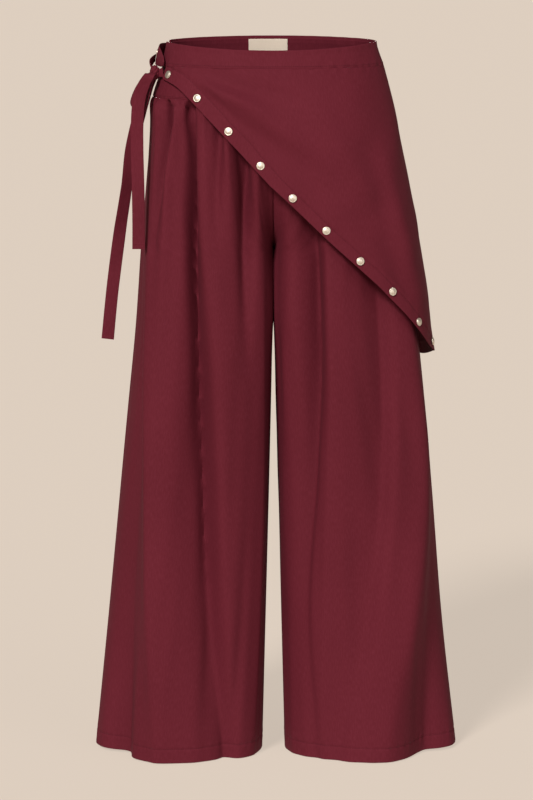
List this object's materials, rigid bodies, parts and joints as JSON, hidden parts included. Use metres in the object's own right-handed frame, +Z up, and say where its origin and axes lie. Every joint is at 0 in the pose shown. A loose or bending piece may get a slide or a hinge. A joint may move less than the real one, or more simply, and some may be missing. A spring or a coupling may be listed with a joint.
{
  "type": "wide-leg wrap trousers on an unseen wearer",
  "caption": "Wide-leg trousers with a gathered waistband and a three-cornered wrap overlay, snapped along its slanting edge and tied in a bow at the right hip.",
  "frame": {"origin": "middle of the waist opening at the height of its rim, where the wearer holds the garment up", "axes": "+Z up, front of the garment faces -Y, the wearer's right is at -X"},
  "size_m": [0.5299, 0.2749, 1.0345],
  "materials": {
    "cloth": "burgundy fine twill with a soft, dry sheen",
    "label": "cream woven label, blank",
    "snap": "satin nickel snap cap with a warm cast"
  },
  "bodies": {
    "root": {"trouser_front_right": "cloth", "trouser_front_left": "cloth", "trouser_back_right": "cloth", "trouser_back_left": "cloth", "waistband_inner_front": "cloth", "waistband_inner_back": "cloth", "overlay_band_front": "cloth", "overlay_band_back": "cloth", "overlay_front": "cloth", "overlay_back": "cloth", "label": "label", "bow_knot": "cloth", "hip_tab": "cloth", "tie_front": "cloth", "tie_back": "cloth", "bow_loop": "cloth", "tie_tail_short": "cloth", "tie_tail_long": "cloth", "snap_01": "snap", "snap_02": "snap", "snap_03": "snap", "snap_04": "snap", "snap_05": "snap", "snap_06": "snap", "snap_07": "snap", "snap_08": "snap", "snap_09": "snap", "snap_10": "snap", "snap_tab": "snap"}
  },
  "joints": []
}
